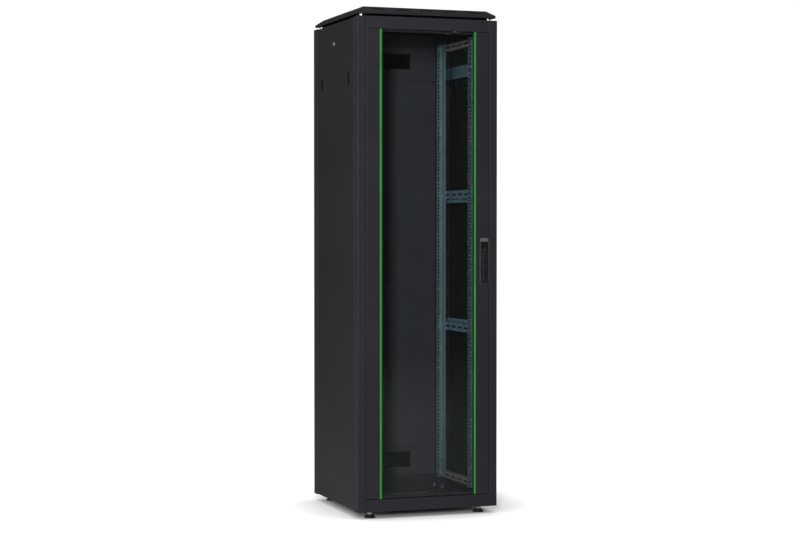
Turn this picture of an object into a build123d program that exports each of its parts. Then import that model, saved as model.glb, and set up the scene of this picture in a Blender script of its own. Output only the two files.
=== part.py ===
from build123d import *
import os
from math import cos, hypot, radians, sin

# A 42 unit, 19 inch equipment cabinet, in millimetres.
# X runs left to right, Y from front (negative) to rear, Z up; the cabinet is centred on the
# Z axis and its feet stand on Z = 0. Unless noted, heights count from the body floor.

os.makedirs("parts", exist_ok=True)

# ---------------------------------------------------------------- driving dimensions
WIDTH = 600.0            # outside, over the posts
DEPTH = 600.0            # outside, over the posts
FLOOR = 28.0             # absolute height of the body's underside
BODY = 1984.5            # height of the body
VENT = 10.0              # air gap between body and roof
OVERALL = 2053.0         # absolute height of the roof's top
HALF_W = WIDTH / 2
FRONT, REAR = -DEPTH / 2, DEPTH / 2

SHEET = 1.5              # frame sheet thickness
GAP = 0.1                # clearance between neighbouring pieces

# posts and cross beams
POST_FACE = 35.0         # width of a post's front face
POST_SIDE = 48.0         # width of a post's side face
REBATE = 28.0            # depth of the door rebate
POST_LEG = 55.0          # reach of a post's inner leg
CAP_T = 3.0
CAP_INSET = 1.0
BEAM_DEPTH = 24.0
BEAM_X = HALF_W - POST_FACE - GAP       # half length of a cross beam
FRONT_LOW_TOP = 49.0     # upper edge of the front bottom beam
FRONT_HIGH_BOTTOM = 1936.0
REAR_LOW_TOP = 59.5
REAR_HIGH_BOTTOM = 1925.0

# equipment rails
UNIT = 44.45
UNITS = 42
UNIT_HOLES = (6.35, 22.225, 38.1)       # hole heights within one unit
HOLE = 9.5               # square equipment hole
WEB_HOLE = 5.0           # small square hole in a rail's web
WEB_HOLE_IN = 38.0       # from the hole flange back to the web's holes
RAIL_HOLE_X = 465.1 / 2
RAIL_IN = 450.0 / 2      # inner edge of a rail
RAIL_OUT = 248.4         # outer face of a rail's web
RAIL_T = 2.0
RAIL_WEB = 50.0
RAIL_LENGTH = 1870.0
RAIL_MID = 994.2         # height of a rail's middle
FRONT_RAIL_Y = -166.0
REAR_RAIL_Y = 200.0
BOLT_LEVELS = (74.0, 718.0, 1281.0, 1912.0)
BOLT_IN = 14.0           # from a rail's hole flange back to its bolts

# depth beams and braces
BRACE_X = RAIL_OUT + GAP                # inner face of the slotted webs
WEB_T = 2.0
CHANNEL_OUT = 272.0      # outer edge of a channel
SIDE_BEAM_Y = REAR - POST_SIDE - GAP    # half length between the posts
# adjustment slots: centre along Y, length
SLOTS = (
    (-154.0, 72.0), (-85.0, 52.0), (-12.0, 52.0),
    (61.0, 52.0), (134.0, 52.0), (202.0, 72.0),
)
SLOT_HEIGHT = 7.0

# doors and their pivots
DOOR_X = 263.7           # half width of both doors
DOOR_BOTTOM, DOOR_TOP = 52.0, 1934.0
DOOR_T = 20.0
PIVOT_X = DOOR_X - 13.2
PIVOT_IN = 7.0           # from a door's face back to its pivots
PIVOT_R = 4.0
PIVOT_HOLE_R = PIVOT_R + 0.05
PIVOT_REACH = 6.0        # how far a pin passes the holed edge
PIVOT_BLOCK = 26.0       # from the door's end to the block's far end
PIVOT_BLOCK_X = 24.0     # from the door's side to the block's inner side
FRONT_PIVOT_Y, REAR_PIVOT_Y = FRONT + PIVOT_IN, REAR - PIVOT_IN

FOOT_X, FOOT_Y = 235.0, 255.0
ROOF_BOLT_X, ROOF_BOLT_Y = 273.0, 266.0

SIDES = (("left", -1), ("right", 1))
ENDS = (("front", -1), ("rear", 1))
# name, side, end
CORNERS = [(f"{end_name}_{side_name}", side, end)
           for end_name, end in ENDS for side_name, side in SIDES]


# ---------------------------------------------------------------- helpers
# The modelling helpers work in the part that is open where they are called.
def slab(x0, x1, y0, y1, z0, z1, mode=Mode.ADD):
    """A rectangular piece between the given limits."""
    with Locations(((x0 + x1) / 2, (y0 + y1) / 2, FLOOR + (z0 + z1) / 2)):
        Box(abs(x1 - x0), abs(y1 - y0), abs(z1 - z0), mode=mode)


def rod_x(radius, x0, x1, y, z, mode=Mode.ADD):
    with Locations(Location(((x0 + x1) / 2, y, FLOOR + z), (0, 90, 0))):
        Cylinder(radius, abs(x1 - x0), mode=mode)


def rod_y(radius, y0, y1, x, z, mode=Mode.ADD):
    with Locations(Location((x, (y0 + y1) / 2, FLOOR + z), (90, 0, 0))):
        Cylinder(radius, abs(y1 - y0), mode=mode)


def rod_z(radius, z0, z1, x, y, mode=Mode.ADD):
    with Locations((x, y, FLOOR + (z0 + z1) / 2)):
        Cylinder(radius, abs(z1 - z0), mode=mode)


def level(z):
    """A horizontal plane at a height above the body floor."""
    return Plane.XY.offset(FLOOR + z)


def upright(y):
    """A vertical plane facing the front: local x to the right, local y up."""
    return Plane.XZ.offset(-y)


def sideways(x):
    """A vertical plane facing right: local x to the rear, local y up."""
    return Plane(origin=(x, 0, 0), x_dir=(0, 1, 0), z_dir=(1, 0, 0))


def hex_radius(across_flats):
    """Corner radius of a hexagon."""
    return across_flats / 2 / cos(radians(30))


def outermost(shapes, axis, direction):
    """The last shape along an axis, or the first for a negative direction."""
    return shapes.sort_by(axis)[-1 if direction > 0 else 0]


def save(builder, name):
    builder.part.label = name
    export_step(builder.part, f"parts/{name}.step")


# ---------------------------------------------------------------- frame: posts
# Hollow post with a step that the door closes into and an inner leg; a plate with the
# hole for the roof bolt closes its top.
def post_outline(inset):
    """Outline of the front left post, moved inwards by the inset."""
    left, face_right = -HALF_W + inset, -HALF_W + POST_FACE - inset
    leg_right = -HALF_W + POST_LEG - inset
    front, step, back = FRONT + inset, FRONT + REBATE + inset, FRONT + POST_SIDE - inset
    return ((left, front), (face_right, front), (face_right, step),
            (leg_right, step), (leg_right, back), (left, back))


with BuildPart() as front_left_post:
    with BuildSketch(level(0)) as post_section:
        with BuildLine():
            Polyline(*post_outline(0), close=True)
        make_face()
        fillet(post_section.vertices(), 2.0)
        with BuildLine():
            Polyline(*post_outline(SHEET), close=True)
        make_face(mode=Mode.SUBTRACT)
    extrude(amount=BODY)
    with BuildSketch(level(BODY)):
        with BuildLine():
            Polyline(*post_outline(CAP_INSET), close=True)
        make_face()
    extrude(amount=-CAP_T)
    rod_z(4.25, BODY - CAP_T - 1, BODY + 1, -ROOF_BOLT_X, -ROOF_BOLT_Y, mode=Mode.SUBTRACT)
save(front_left_post, "front_left_post")

with BuildPart() as front_right_post:
    mirror(front_left_post.part, about=Plane.YZ)
save(front_right_post, "front_right_post")

for side_name, front_post in (("left", front_left_post), ("right", front_right_post)):
    with BuildPart() as rear_post:
        mirror(front_post.part, about=Plane.XZ)
    save(rear_post, f"rear_{side_name}_post")


# ---------------------------------------------------------------- frame: cross beams
FLANGE_T = 3.0
FLANGE_X = HALF_W - POST_LEG - 0.6
FLANGE_IN_Y = 232.0      # inner edge of a floor flange
WELD_NUT_H = 8.0


def hollow_beam(y0, z0, z1):
    """A hollow box beam between two posts, from its front face at y0."""
    slab(-BEAM_X, BEAM_X, y0, y0 + BEAM_DEPTH, z0, z1)
    slab(-BEAM_X - 1, BEAM_X + 1, y0 + SHEET, y0 + BEAM_DEPTH - SHEET,
         z0 + SHEET, z1 - SHEET, mode=Mode.SUBTRACT)


def foot_flange(end):
    """Floor flange with a weld nut and a clear hole over each levelling foot."""
    slab(-FLANGE_X, FLANGE_X, end * FLANGE_IN_Y, end * (REAR - BEAM_DEPTH + 0.5), 0, FLANGE_T)
    for x in (-FOOT_X, FOOT_X):
        with Locations((x, end * FOOT_Y, FLOOR + FLANGE_T + WELD_NUT_H / 2)):
            with BuildPart(mode=Mode.PRIVATE) as nut:
                with BuildSketch():
                    RegularPolygon(hex_radius(17.0), 6, rotation=30)
                extrude(amount=WELD_NUT_H / 2, both=True)
            add(nut.part)
        rod_z(5.15, -1, FLANGE_T + WELD_NUT_H + 1, x, end * FOOT_Y, mode=Mode.SUBTRACT)


with BuildPart() as front_top_beam:
    hollow_beam(FRONT, FRONT_HIGH_BOTTOM, BODY)
    rod_z(PIVOT_HOLE_R, FRONT_HIGH_BOTTOM - 1, FRONT_HIGH_BOTTOM + SHEET + 1,
          -PIVOT_X, FRONT_PIVOT_Y, mode=Mode.SUBTRACT)
save(front_top_beam, "front_top_beam")

with BuildPart() as front_bottom_beam:
    hollow_beam(FRONT, 0, FRONT_LOW_TOP)
    foot_flange(-1)
    rod_z(PIVOT_HOLE_R, FRONT_LOW_TOP - SHEET - 1, FRONT_LOW_TOP + 1,
          -PIVOT_X, FRONT_PIVOT_Y, mode=Mode.SUBTRACT)
save(front_bottom_beam, "front_bottom_beam")

with BuildPart() as rear_top_beam:
    hollow_beam(REAR - BEAM_DEPTH, REAR_HIGH_BOTTOM, BODY)
save(rear_top_beam, "rear_top_beam")

with BuildPart() as rear_bottom_beam:
    hollow_beam(REAR - BEAM_DEPTH, 0, REAR_LOW_TOP)
    foot_flange(1)
save(rear_bottom_beam, "rear_bottom_beam")


# ---------------------------------------------------------------- frame: depth beams and braces
CHANNEL_HALF_H = 14.0
BAND_HALF_H = 17.0       # of a brace's wide band
JOGGLE = 8.0             # outward step to a brace's narrow band
LATCH_BAR_BOTTOM, LATCH_BAR_TOP = 1780.0, 1831.0
LATCH_BAR_IN, LATCH_BAR_OUT = 262.0, 284.0
LATCH_BAR_T = 1.5


def cut_slots(side, z):
    """The row of adjustment slots through a web."""
    for y, length in SLOTS:
        slab(side * (BRACE_X - 1), side * (BRACE_X + 3), y - length / 2, y + length / 2,
             z - SLOT_HEIGHT / 2, z + SLOT_HEIGHT / 2, mode=Mode.SUBTRACT)


# Channels between front and rear posts; their slotted webs carry the rail ends.
with BuildPart() as side_depth_beams:
    for _, side in SIDES:
        for z in (BOLT_LEVELS[0], BOLT_LEVELS[3]):
            z0, z1 = z - CHANNEL_HALF_H, z + CHANNEL_HALF_H
            slab(side * BRACE_X, side * CHANNEL_OUT, -SIDE_BEAM_Y, SIDE_BEAM_Y, z0, z1)
            slab(side * (BRACE_X + WEB_T), side * (CHANNEL_OUT + 1),
                 -SIDE_BEAM_Y - 1, SIDE_BEAM_Y + 1, z0 + WEB_T, z1 - WEB_T, mode=Mode.SUBTRACT)
            cut_slots(side, z)
save(side_depth_beams, "side_depth_beams")

# Joggled strips: a wide slotted band against the rails and a narrow band set further out,
# pierced along the joggle.
with BuildPart() as rail_braces:
    for _, side in SIDES:
        for z, up in ((BOLT_LEVELS[1], 1), (BOLT_LEVELS[2], -1)):
            inner, outer = side * BRACE_X, side * (BRACE_X + JOGGLE + WEB_T)
            step_z = z + up * (BAND_HALF_H - WEB_T)
            slab(inner, side * (BRACE_X + WEB_T), -SIDE_BEAM_Y, SIDE_BEAM_Y,
                 z - BAND_HALF_H, z + BAND_HALF_H)
            slab(inner, outer, -SIDE_BEAM_Y, SIDE_BEAM_Y, step_z, z + up * BAND_HALF_H)
            slab(side * (BRACE_X + JOGGLE), outer, -SIDE_BEAM_Y, SIDE_BEAM_Y,
                 step_z, z + up * 35)
            for y in (-168.0, -56.0, 56.0, 168.0):
                slab(side * (BRACE_X + JOGGLE - 1), outer + side, y - 50, y + 50,
                     z + up * 17.2, z + up * 21.2, mode=Mode.SUBTRACT)
            cut_slots(side, z)
save(rail_braces, "rail_braces")

# Plain bars just behind the side panels, over their latches, with inward returns.
with BuildPart() as latch_bars:
    for _, side in SIDES:
        slab(side * (LATCH_BAR_OUT - LATCH_BAR_T), side * LATCH_BAR_OUT,
             -SIDE_BEAM_Y, SIDE_BEAM_Y, LATCH_BAR_BOTTOM, LATCH_BAR_TOP)
        for _, end in ENDS:
            slab(side * LATCH_BAR_IN, side * LATCH_BAR_OUT,
                 end * (SIDE_BEAM_Y - LATCH_BAR_T), end * SIDE_BEAM_Y,
                 LATCH_BAR_BOTTOM, LATCH_BAR_TOP)
save(latch_bars, "latch_bars")


# ---------------------------------------------------------------- base
BASE_X, BASE_Y = 299.0, 243.0
BASE_T = 2.0
OPENING_X = 150.0        # half width of the cable opening
OPENING_FRONT, OPENING_REAR = 80.0, 190.0
RIM_BOTTOM = FLANGE_T + BASE_T
RIM_TOP = RIM_BOTTOM + 12.0

with BuildPart() as base_plate:
    with BuildSketch(level(FLANGE_T)):
        Rectangle(2 * BASE_X, 2 * BASE_Y)
        with Locations((0, (OPENING_FRONT + OPENING_REAR) / 2)):
            Rectangle(2 * OPENING_X, OPENING_REAR - OPENING_FRONT, mode=Mode.SUBTRACT)
        with GridLocations(400, 400, 2, 2):
            Circle(6.25, mode=Mode.SUBTRACT)
    extrude(amount=BASE_T)
    # turned-up rim of the cable opening
    for y in (OPENING_FRONT - SHEET, OPENING_REAR):
        slab(-OPENING_X - SHEET, OPENING_X + SHEET, y, y + SHEET, RIM_BOTTOM, RIM_TOP)
    for x in (-OPENING_X - SHEET, OPENING_X):
        slab(x, x + SHEET, OPENING_FRONT, OPENING_REAR, RIM_BOTTOM, RIM_TOP)
save(base_plate, "base_plate")


# ---------------------------------------------------------------- roof
ROOF_HALF = 295.0        # half of the roof's outline
PLATEAU = 265.0          # half of the flat top
ROOF_BOTTOM = BODY + VENT
BEVEL_BOTTOM = ROOF_BOTTOM + 10.0
ROOF_TOP = OVERALL - FLOOR
ROOF_INSIDE = ROOF_HALF - SHEET
RIM_INSIDE_H = 9.6       # height of the hollow's straight part
TAB_IN = 246.0           # inner edges of the corner tabs
TAB_T = 2.0
LOUVRE_GROUPS, LOUVRE_GROUP_PITCH = 5, 102.5
LOUVRES, LOUVRE_PITCH = 8, 6.7
LOUVRE_W, LOUVRE_LENGTH = 3.2, 19.0

with BuildPart() as roof_cover:
    with BuildSketch(level(ROOF_BOTTOM)):
        Rectangle(2 * ROOF_HALF, 2 * ROOF_HALF)
    extrude(amount=BEVEL_BOTTOM - ROOF_BOTTOM)
    with BuildSketch(level(BEVEL_BOTTOM)):
        Rectangle(2 * ROOF_HALF, 2 * ROOF_HALF)
    with BuildSketch(level(ROOF_TOP)):
        Rectangle(2 * PLATEAU, 2 * PLATEAU)
    loft()
    # hollow
    with BuildSketch(level(ROOF_BOTTOM)):
        Rectangle(2 * ROOF_INSIDE, 2 * ROOF_INSIDE)
    extrude(amount=RIM_INSIDE_H, mode=Mode.SUBTRACT)
    with BuildSketch(level(ROOF_BOTTOM + RIM_INSIDE_H)):
        Rectangle(2 * ROOF_INSIDE, 2 * ROOF_INSIDE)
    with BuildSketch(level(ROOF_TOP - SHEET)):
        Rectangle(2 * (PLATEAU - 0.4), 2 * (PLATEAU - 0.4))
    loft(mode=Mode.SUBTRACT)
    # groups of louvre slots on each bevelled side
    run, rise = ROOF_HALF - PLATEAU, ROOF_TOP - BEVEL_BOTTOM
    slope = hypot(run, rise)
    middle = (ROOF_HALF + PLATEAU) / 2
    louvre_places = [
        ((group - (LOUVRE_GROUPS - 1) / 2) * LOUVRE_GROUP_PITCH
         + (i - (LOUVRES - 1) / 2) * LOUVRE_PITCH, 0)
        for group in range(LOUVRE_GROUPS) for i in range(LOUVRES)
    ]
    for quarter in range(4):
        turn = radians(90 * quarter)
        bevel = Plane(
            origin=(middle * sin(turn), -middle * cos(turn),
                    FLOOR + (BEVEL_BOTTOM + ROOF_TOP) / 2),
            x_dir=(cos(turn), sin(turn), 0),
            z_dir=(rise / slope * sin(turn), -rise / slope * cos(turn), run / slope),
        )
        with BuildSketch(bevel):
            with Locations(*louvre_places):
                Rectangle(LOUVRE_W, LOUVRE_LENGTH)
        extrude(amount=4, both=True, mode=Mode.SUBTRACT)
    # corner tabs that rest on the spacers
    for _, side, end in CORNERS:
        slab(side * TAB_IN, side * (ROOF_INSIDE + 0.5), end * TAB_IN, end * (ROOF_INSIDE + 0.5),
             ROOF_BOTTOM, ROOF_BOTTOM + TAB_T)
        rod_z(4.25, ROOF_BOTTOM - 1, ROOF_BOTTOM + TAB_T + 1,
              side * ROOF_BOLT_X, end * ROOF_BOLT_Y, mode=Mode.SUBTRACT)
save(roof_cover, "roof_cover")

# Spacers and bolts that hold the roof above the posts; all spacers are bored before the
# bolts go in.
with BuildPart() as roof_fixings:
    roof_bolts = [(side * ROOF_BOLT_X, end * ROOF_BOLT_Y) for _, side, end in CORNERS]
    for x, y in roof_bolts:
        rod_z(8.0, BODY, ROOF_BOTTOM, x, y)
        rod_z(4.3, BODY - 1, ROOF_BOTTOM + 1, x, y, mode=Mode.SUBTRACT)
    for x, y in roof_bolts:
        with BuildSketch(level(ROOF_BOTTOM + TAB_T)):
            with Locations((x, y)):
                RegularPolygon(hex_radius(13.0), 6)
        extrude(amount=5.3)
        rod_z(4.0, BODY - 12, ROOF_BOTTOM + TAB_T, x, y)
save(roof_fixings, "roof_fixings")


# ---------------------------------------------------------------- rear cable panels and brushes
CABLE_W, CABLE_H = 270.0, 54.0
HIGH_CUT_Z, LOW_CUT_Z = 1863.0, 130.0   # middles of the cable cut-outs
HIGH_PAN_BOTTOM, LOW_PAN_TOP = 1802.0, 189.5
PAN_X = HALF_W - POST_FACE - 0.6
PAN_DEPTH = 20.0
STOP_Y = REAR - 25.5     # front face of the stop flange


def cable_pan(door_z, beam_z, cut_z):
    """A shallow pan from the rear door's edge to a beam, open to the inside, with the cable
    cut-out, a pivot hole and a stop flange that covers the gap along the door's edge."""
    up = 1 if beam_z > door_z else -1
    slab(-PAN_X, PAN_X, REAR - PAN_DEPTH, REAR, door_z, beam_z)
    slab(-PAN_X + SHEET, PAN_X - SHEET, REAR - PAN_DEPTH - 1, REAR - SHEET,
         door_z + up * SHEET, beam_z - up * SHEET, mode=Mode.SUBTRACT)
    slab(-PAN_X, PAN_X, STOP_Y, REAR - PAN_DEPTH + 1, door_z, door_z + up * SHEET)
    slab(-PAN_X, PAN_X, STOP_Y, STOP_Y + SHEET, door_z + up * SHEET, door_z - up * 12)
    slab(-CABLE_W / 2, CABLE_W / 2, REAR - 3, REAR + 1,
         cut_z - CABLE_H / 2, cut_z + CABLE_H / 2, mode=Mode.SUBTRACT)
    rod_z(PIVOT_HOLE_R, door_z - 2.5, door_z + 2.5, PIVOT_X, REAR_PIVOT_Y, mode=Mode.SUBTRACT)


with BuildPart() as rear_top_cable_panel:
    cable_pan(HIGH_PAN_BOTTOM, REAR_HIGH_BOTTOM - GAP, HIGH_CUT_Z)
save(rear_top_cable_panel, "rear_top_cable_panel")

with BuildPart() as rear_bottom_cable_panel:
    cable_pan(LOW_PAN_TOP, REAR_LOW_TOP + GAP, LOW_CUT_Z)
save(rear_bottom_cable_panel, "rear_bottom_cable_panel")

# Each cut-out is closed by two facing brushes with a slit between them.
with BuildPart() as brush_strips:
    for cut_z in (HIGH_CUT_Z, LOW_CUT_Z):
        for up in (-1, 1):
            edge = cut_z + up * CABLE_H / 2
            slab(-141, 141, REAR - 10, REAR - SHEET - GAP, edge - up * 2, edge + up * 6)
            slab(-CABLE_W / 2, CABLE_W / 2, REAR - 7, REAR - 3, cut_z + up * 0.6, edge)
save(brush_strips, "brush_strips")


# ---------------------------------------------------------------- equipment rails
# Their sketches sit in functions, so they are handed to extrude explicitly.
def rail(side, flange_y, back):
    """A hole flange in a vertical plane, and a web along the depth in direction back."""
    first_unit = FLOOR + RAIL_MID - UNITS * UNIT / 2
    holes = [first_unit + k * UNIT + height for k in range(UNITS) for height in UNIT_HOLES]
    with BuildSketch(upright(flange_y)) as flange:
        with Locations((side * (RAIL_IN + RAIL_OUT) / 2, FLOOR + RAIL_MID)):
            Rectangle(RAIL_OUT - RAIL_IN, RAIL_LENGTH)
        with Locations(*[(side * RAIL_HOLE_X, z) for z in holes]):
            Rectangle(HOLE, HOLE, mode=Mode.SUBTRACT)
    extrude(flange.sketch, amount=-back * RAIL_T)
    with BuildSketch(sideways(side * RAIL_OUT)) as web:
        with Locations((flange_y + back * RAIL_WEB / 2, FLOOR + RAIL_MID)):
            Rectangle(RAIL_WEB, RAIL_LENGTH)
        with Locations(*[(flange_y + back * WEB_HOLE_IN, z) for z in holes]):
            Rectangle(WEB_HOLE, WEB_HOLE, mode=Mode.SUBTRACT)
        with Locations(*[(flange_y + back * BOLT_IN, FLOOR + z) for z in BOLT_LEVELS]):
            Circle(3.25, mode=Mode.SUBTRACT)
    extrude(web.sketch, amount=-side * RAIL_T)


def rail_bolts(side, y):
    """Four hexagon bolts through the web and a slot, with their nuts."""
    head_x = side * (RAIL_OUT - RAIL_T)
    nut_x = side * (BRACE_X + WEB_T + GAP)
    for z in BOLT_LEVELS:
        head_plane = Plane(origin=(head_x, y, FLOOR + z), x_dir=(0, 1, 0), z_dir=(-side, 0, 0))
        with BuildSketch(head_plane) as head:
            RegularPolygon(hex_radius(10.0), 6)
        extrude(head.sketch, amount=4)
        rod_x(3.0, head_x, side * 259.0, y, z)
    for z in BOLT_LEVELS:
        nut_plane = Plane(origin=(nut_x, y, FLOOR + z), x_dir=(0, 1, 0), z_dir=(side, 0, 0))
        with BuildSketch(nut_plane) as nut:
            RegularPolygon(hex_radius(10.0), 6)
            Circle(3.05, mode=Mode.SUBTRACT)
        extrude(nut.sketch, amount=4.6)


for corner, side, end in CORNERS:
    flange_y = FRONT_RAIL_Y if end < 0 else REAR_RAIL_Y
    with BuildPart() as rail_part:
        rail(side, flange_y, -end)
    save(rail_part, f"{corner}_rail")
    with BuildPart() as bolts_part:
        rail_bolts(side, flange_y - end * BOLT_IN)
    save(bolts_part, f"{corner}_rail_bolts")


# ---------------------------------------------------------------- front door
# Two hollow vertical profiles with a lip over the glass and a groove for a trim strip.
LIP_X = DOOR_X - 69.7          # inner edge of a profile
BOX_X = LIP_X + 17.5           # where the hollow part of a profile begins
LIP_T = 4.0
PROFILE_WALL = 1.8
STRIPE_X = 203.0
STRIPE_W = 6.0
GROOVE = 1.2
GLASS_X = BOX_X - 0.3
GLASS_FRONT, GLASS_REAR = FRONT + 4.05, FRONT + 8.05
HANDLE_X = 243.5
HANDLE_BOTTOM, HANDLE_TOP = 914.0, 1082.0
SPINDLE_Z = 1046.0
KEY_Z = 954.0

for side_name, side in SIDES:
    with BuildPart() as door_profile:
        with BuildSketch(level(DOOR_BOTTOM)) as section:
            with BuildLine():
                Polyline(
                    (side * LIP_X, FRONT), (side * DOOR_X, FRONT),
                    (side * DOOR_X, FRONT + DOOR_T), (side * BOX_X, FRONT + DOOR_T),
                    (side * BOX_X, FRONT + LIP_T), (side * LIP_X, FRONT + LIP_T),
                    close=True,
                )
            make_face()
            corners = section.vertices().sort_by(Axis.X)
            fillet(corners[-2:] if side > 0 else corners[:2], 2.5)
            with Locations((side * (BOX_X + DOOR_X) / 2, FRONT + DOOR_T / 2)):
                Rectangle(DOOR_X - BOX_X - 2 * PROFILE_WALL, DOOR_T - 2 * PROFILE_WALL,
                          mode=Mode.SUBTRACT)
            with Locations((side * STRIPE_X, FRONT + GROOVE / 2)):
                Rectangle(STRIPE_W, GROOVE + 1e-6, mode=Mode.SUBTRACT)
        extrude(amount=DOOR_TOP - DOOR_BOTTOM)
        if side > 0:    # spindle holes through the front and back walls
            rod_y(10.1, FRONT - 1, FRONT + 3, HANDLE_X, SPINDLE_Z, mode=Mode.SUBTRACT)
            rod_y(8.0, FRONT + DOOR_T - 3, FRONT + DOOR_T + 1, HANDLE_X, SPINDLE_Z,
                  mode=Mode.SUBTRACT)
    save(door_profile, f"front_door_{side_name}_profile")

with BuildPart() as front_door_glass:
    slab(-GLASS_X, GLASS_X, GLASS_FRONT, GLASS_REAR, DOOR_BOTTOM + 0.5, DOOR_TOP - 0.5)
    chamfer(front_door_glass.edges().filter_by(Axis.X), 0.6)
save(front_door_glass, "front_door_glass")

with BuildPart() as trim_strips:
    for _, side in SIDES:
        slab(side * (STRIPE_X - STRIPE_W / 2 + 0.05), side * (STRIPE_X + STRIPE_W / 2 - 0.05),
             FRONT - 0.4, FRONT + GROOVE - 0.05, DOOR_BOTTOM, DOOR_TOP)
    strip_fronts = trim_strips.faces().filter_by(Axis.Y).group_by(Axis.Y)[0]
    chamfer(strip_fronts.edges().filter_by(Axis.Z), 0.35)
save(trim_strips, "front_door_trim_strips")

# Hollow rails behind the glass at the top and bottom.
with BuildPart() as cross_rails:
    for z0, z1 in ((DOOR_BOTTOM + 1, DOOR_BOTTOM + 9), (DOOR_TOP - 9, DOOR_TOP - 1)):
        slab(-GLASS_X, GLASS_X, GLASS_REAR + 0.05, FRONT + DOOR_T, z0, z1)
        slab(-BOX_X - 1, BOX_X + 1, GLASS_REAR + 0.05 + SHEET, FRONT + DOOR_T - SHEET,
             z0 + SHEET, z1 - SHEET, mode=Mode.SUBTRACT)
save(cross_rails, "front_door_cross_rails")

# Pivot blocks in the ends of the left profile, each with a pin.
with BuildPart() as front_door_pivots:
    inset = PROFILE_WALL + GAP
    for door_z, up, hole_z in ((DOOR_BOTTOM, 1, FRONT_LOW_TOP), (DOOR_TOP, -1, FRONT_HIGH_BOTTOM)):
        slab(-DOOR_X + inset, -DOOR_X + PIVOT_BLOCK_X, FRONT + inset, FRONT + DOOR_T - inset,
             door_z + up * 0.5, door_z + up * PIVOT_BLOCK)
        rod_z(PIVOT_R, hole_z - up * PIVOT_REACH, door_z + up * 1.5, -PIVOT_X, FRONT_PIVOT_Y)
save(front_door_pivots, "front_door_pivots")


# ---------------------------------------------------------------- swing handle and lock
HANDLE_BASE_T = 3.5
LEVER_AXIS_Y = FRONT - 7.5     # axis about which the lever lifts
LEVER_FRONT = FRONT - 13.0     # front of the lever's upper part
GRIP_FRONT = FRONT - 17.0      # front of its thicker lower part
GRIP_BOTTOM = 918.0
LEVER_TOP = SPINDLE_Z + 3.5
PLUG_R = 7.0
BORE_R = 7.05                  # bore around the spindle or the key plug

with BuildPart() as handle_base:
    with BuildSketch(upright(FRONT)):
        with Locations((HANDLE_X, FLOOR + (HANDLE_BOTTOM + HANDLE_TOP) / 2)):
            RectangleRounded(35, HANDLE_TOP - HANDLE_BOTTOM, 4.0)
    extrude(amount=HANDLE_BASE_T)
    fillet(handle_base.faces().sort_by(Axis.Y)[0].edges(), 1.2)
    rod_y(10.0, FRONT - 0.5, FRONT + 8, HANDLE_X, SPINDLE_Z)
    rod_y(BORE_R, FRONT - 5, FRONT + 9, HANDLE_X, SPINDLE_Z, mode=Mode.SUBTRACT)
save(handle_base, "handle_base")

with BuildPart() as handle_spindle:
    rod_y(PLUG_R, FRONT - HANDLE_BASE_T + 0.1, FRONT + 21.5, HANDLE_X, SPINDLE_Z)
    rod_y(14.0, FRONT + 10, FRONT + 13, HANDLE_X, SPINDLE_Z)
    rod_y(5.0, FRONT + 21.5, FRONT + 26.5, HANDLE_X, SPINDLE_Z)
    # eye that the lever straddles, with its cross pin
    slab(HANDLE_X - 4, HANDLE_X + 4, LEVER_AXIS_Y, FRONT - HANDLE_BASE_T + 0.2,
         SPINDLE_Z - 3.4, SPINDLE_Z + 3.4)
    rod_x(3.4, HANDLE_X - 4, HANDLE_X + 4, LEVER_AXIS_Y, SPINDLE_Z)
    rod_x(1.5, HANDLE_X - 8, HANDLE_X + 8, LEVER_AXIS_Y, SPINDLE_Z)
save(handle_spindle, "handle_spindle")

with BuildPart() as handle_lever:
    with BuildSketch(sideways(HANDLE_X)):
        with BuildLine():
            Polyline(
                (FRONT - 4, FLOOR + GRIP_BOTTOM), (FRONT - 4, FLOOR + SPINDLE_Z),
                (LEVER_AXIS_Y, FLOOR + LEVER_TOP), (LEVER_FRONT + 1.5, FLOOR + LEVER_TOP),
                (LEVER_FRONT, FLOOR + LEVER_TOP - 1.5), (LEVER_FRONT, FLOOR + 1008),
                (GRIP_FRONT, FLOOR + 994), (GRIP_FRONT, FLOOR + 924),
                (FRONT - 12, FLOOR + GRIP_BOTTOM), close=True,
            )
        make_face()
        with Locations((LEVER_AXIS_Y, FLOOR + SPINDLE_Z)):
            Circle(3.5)
    extrude(amount=11.5, both=True)
    upright_edges = handle_lever.edges().filter_by(Axis.Z)
    fillet(upright_edges.filter_by(lambda edge: edge.center().Y < FRONT - 10), 2.0)
    # pocket for the eye, and the holes of the cross pin
    slab(HANDLE_X - 4.15, HANDLE_X + 4.15, LEVER_AXIS_Y - 3.6, FRONT,
         SPINDLE_Z - 5, SPINDLE_Z + 10, mode=Mode.SUBTRACT)
    rod_x(1.55, HANDLE_X - 8.1, HANDLE_X + 8.1, LEVER_AXIS_Y, SPINDLE_Z, mode=Mode.SUBTRACT)
    # seat of the key plug
    rod_y(BORE_R, FRONT - 20, FRONT, HANDLE_X, KEY_Z, mode=Mode.SUBTRACT)
save(handle_lever, "handle_lever")

with BuildPart() as handle_key_plug:
    rod_y(PLUG_R, GRIP_FRONT, FRONT - 4.5, HANDLE_X, KEY_Z)
    # key slot and its wider part
    slab(HANDLE_X - 0.9, HANDLE_X + 0.9, GRIP_FRONT - 1, GRIP_FRONT + 5,
         KEY_Z - 3.8, KEY_Z + 3.8, mode=Mode.SUBTRACT)
    slab(HANDLE_X - 1.6, HANDLE_X + 1.6, GRIP_FRONT - 1, GRIP_FRONT + 5,
         KEY_Z + 0.6, KEY_Z + 2.2, mode=Mode.SUBTRACT)
save(handle_key_plug, "handle_key_plug")

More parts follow.
